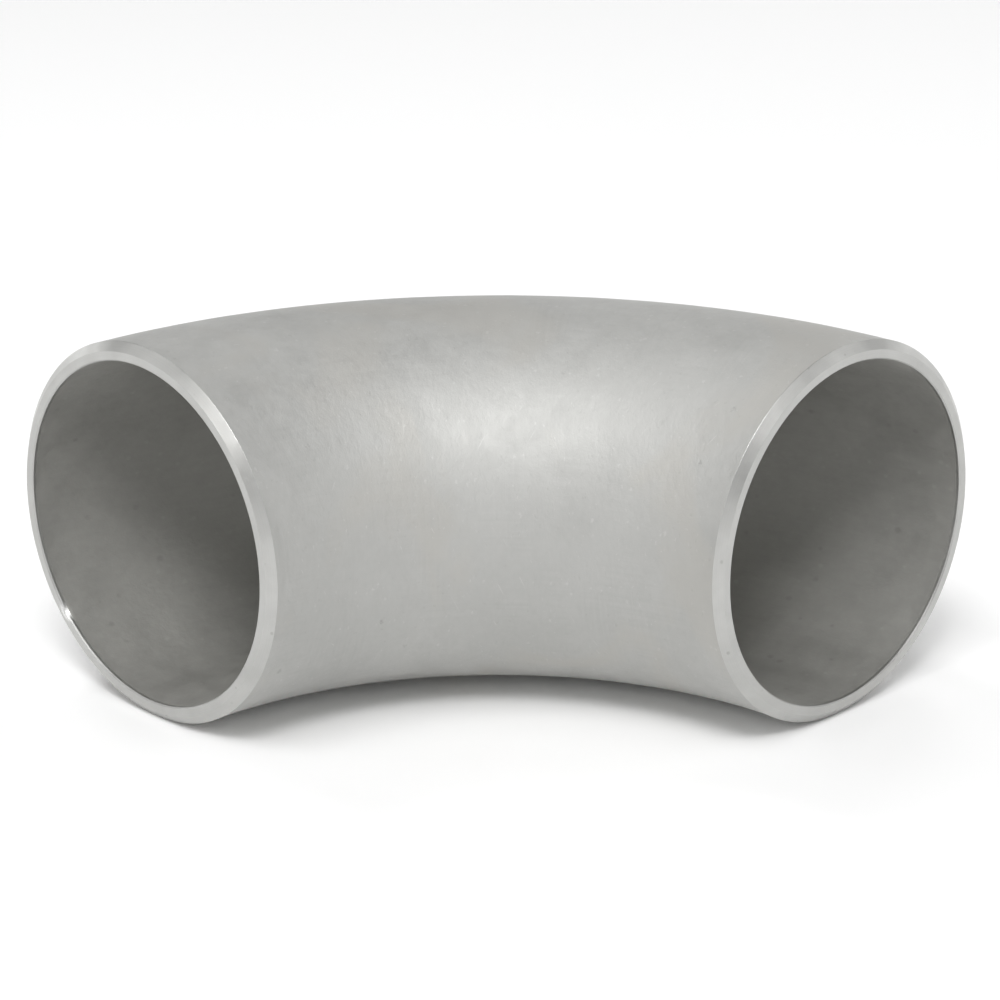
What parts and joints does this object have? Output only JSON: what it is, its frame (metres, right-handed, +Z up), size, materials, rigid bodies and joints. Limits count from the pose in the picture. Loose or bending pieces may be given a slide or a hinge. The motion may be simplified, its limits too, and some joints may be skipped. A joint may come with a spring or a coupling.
{
  "type": "long radius pipe elbow",
  "caption": "Seamless stainless steel butt-weld pipe elbow that turns a pipe run through 90 degrees on a long radius, with bevelled weld ends.",
  "frame": {"origin": "middle of the elbow's footprint on the floor it lies on; the bend axis is the vertical line X = 0, Y = -0.06983 m", "axes": "+Z up, square to the bend plane; +X to the right along the elbow's longest side; +Y towards the outside of the bend; the mouths face -Y at 45 degrees to -X and to +X"},
  "size_m": [0.1488, 0.073, 0.0603],
  "materials": {
    "stainless": "matt pickled grey outside, slightly darker bore, bright machined weld ends"
  },
  "bodies": {
    "root": {"elbow": "stainless"}
  },
  "joints": []
}
